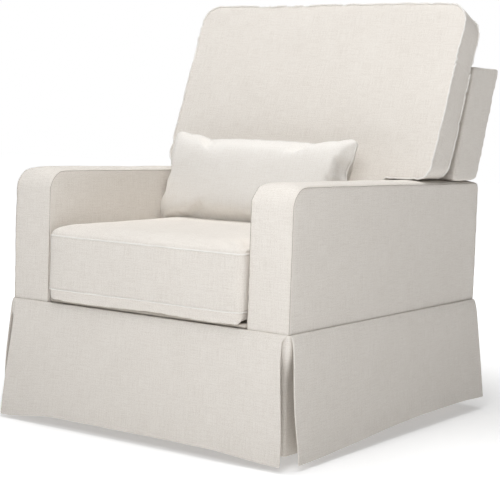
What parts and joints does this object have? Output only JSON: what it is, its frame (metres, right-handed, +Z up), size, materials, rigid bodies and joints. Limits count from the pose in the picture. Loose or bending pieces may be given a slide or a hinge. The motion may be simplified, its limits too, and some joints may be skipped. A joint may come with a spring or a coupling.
{
  "type": "swivel glider chair",
  "caption": "Upholstered skirted armchair that swivels on a round floor base and glides on hanging links, with a loose seat cushion and a lumbar pillow.",
  "frame": {"origin": "on the floor under the swivel axis, at the middle of the chair's bounding box", "axes": "+X to the right as seen by someone facing the chair, +Y towards the back, +Z up; the chair faces -Y"},
  "size_m": [0.864, 0.9888, 1.0506],
  "materials": {
    "cream_linen": "matte",
    "deck_cloth": "matte",
    "frame_wood": "matte",
    "painted_steel": "satin",
    "bright_steel": "satin",
    "spring_steel": "satin",
    "pad_plastic": "matte"
  },
  "bodies": {
    "floor_base": {"base_ring": "painted_steel", "cross_bar_left": "painted_steel", "cross_bar_right": "painted_steel", "hub_plate": "painted_steel", "lower_race": "bright_steel", "floor_pad_front_left": "pad_plastic", "floor_pad_rear_left": "pad_plastic", "floor_pad_front_right": "pad_plastic", "floor_pad_rear_right": "pad_plastic"},
    "swivel_frame": {"upper_race": "bright_steel", "ball_cage": "bright_steel", "centre_rivet": "bright_steel", "swivel_plate": "painted_steel", "glider_crossmember_front": "painted_steel", "glider_crossmember_rear": "painted_steel", "glider_rail_left": "painted_steel", "glider_rail_right": "painted_steel", "hanger_post_front_left": "painted_steel", "hanger_post_rear_left": "painted_steel", "hanger_post_front_right": "painted_steel", "hanger_post_rear_right": "painted_steel", "upper_pin_front_left": "bright_steel", "upper_pin_rear_left": "bright_steel", "upper_pin_front_right": "bright_steel", "upper_pin_rear_right": "bright_steel"},
    "link_front_left": {"glide_link_front_left": "bright_steel"},
    "link_rear_left": {"glide_link_rear_left": "bright_steel"},
    "link_front_right": {"glide_link_front_right": "bright_steel"},
    "link_rear_right": {"glide_link_rear_right": "bright_steel"},
    "seat_body": {"carriage_side_left": "painted_steel", "carriage_side_right": "painted_steel", "lower_shaft_front": "bright_steel", "lower_shaft_rear": "bright_steel", "seat_rail_front": "frame_wood", "seat_rail_rear": "frame_wood", "seat_rail_left": "frame_wood", "seat_rail_right": "frame_wood", "spring_rail": "frame_wood", "seat_springs": "spring_steel", "seat_deck": "deck_cloth", "front_border": "cream_linen", "arm_frame_left": "frame_wood", "arm_upholstery_left": "cream_linen", "arm_frame_right": "frame_wood", "arm_upholstery_right": "cream_linen", "back_frame": "frame_wood", "back_springs": "spring_steel", "back_upholstery": "cream_linen", "back_cushion": "cream_linen", "skirt_front": "cream_linen", "skirt_rear": "cream_linen", "skirt_left": "cream_linen", "skirt_right": "cream_linen", "skirt_pleat_front_left": "cream_linen", "skirt_pleat_rear_left": "cream_linen", "skirt_pleat_front_right": "cream_linen", "skirt_pleat_rear_right": "cream_linen"},
    "loose_seat_cushion": {"seat_cushion": "cream_linen"},
    "loose_pillow": {"lumbar_pillow": "cream_linen"}
  },
  "joints": [
    {"name": "swivel", "type": "hinge", "parent": "floor_base", "child": "swivel_frame", "pos_m": [0, 0, 0.0434], "axis": [0, 0, 1], "continuous": true},
    {"name": "glide", "type": "hinge", "parent": "swivel_frame", "child": "link_front_left", "pos_m": [-0.209, -0.165, 0.215], "axis": [1, 0, 0], "range_deg": [-30, 30]},
    {"name": "glide_rear_left", "type": "hinge", "parent": "swivel_frame", "child": "link_rear_left", "pos_m": [-0.209, 0.165, 0.215], "axis": [1, 0, 0], "range_deg": [-30, 30]},
    {"name": "glide_front_right", "type": "hinge", "parent": "swivel_frame", "child": "link_front_right", "pos_m": [0.209, -0.165, 0.215], "axis": [1, 0, 0], "range_deg": [-30, 30]},
    {"name": "glide_rear_right", "type": "hinge", "parent": "swivel_frame", "child": "link_rear_right", "pos_m": [0.209, 0.165, 0.215], "axis": [1, 0, 0], "range_deg": [-30, 30]},
    {"name": "seat_level", "type": "hinge", "parent": "link_front_left", "child": "seat_body", "pos_m": [-0.209, -0.165, 0.097], "axis": [1, 0, 0], "range_deg": [-30, 30]},
    {"name": "cushion_pull", "type": "slide", "parent": "seat_body", "child": "loose_seat_cushion", "axis": [0, -1, 0], "range_m": [0, 0.68]},
    {"name": "pillow_lift", "type": "slide", "parent": "loose_seat_cushion", "child": "loose_pillow", "axis": [0, -0.5, 0.866], "range_m": [0, 0.45]}
  ],
  "couplings": [
    {"joint": "glide_rear_left", "follows": "glide", "ratio": 1},
    {"joint": "glide_front_right", "follows": "glide", "ratio": 1},
    {"joint": "glide_rear_right", "follows": "glide", "ratio": 1},
    {"joint": "seat_level", "follows": "glide", "ratio": -1}
  ]
}
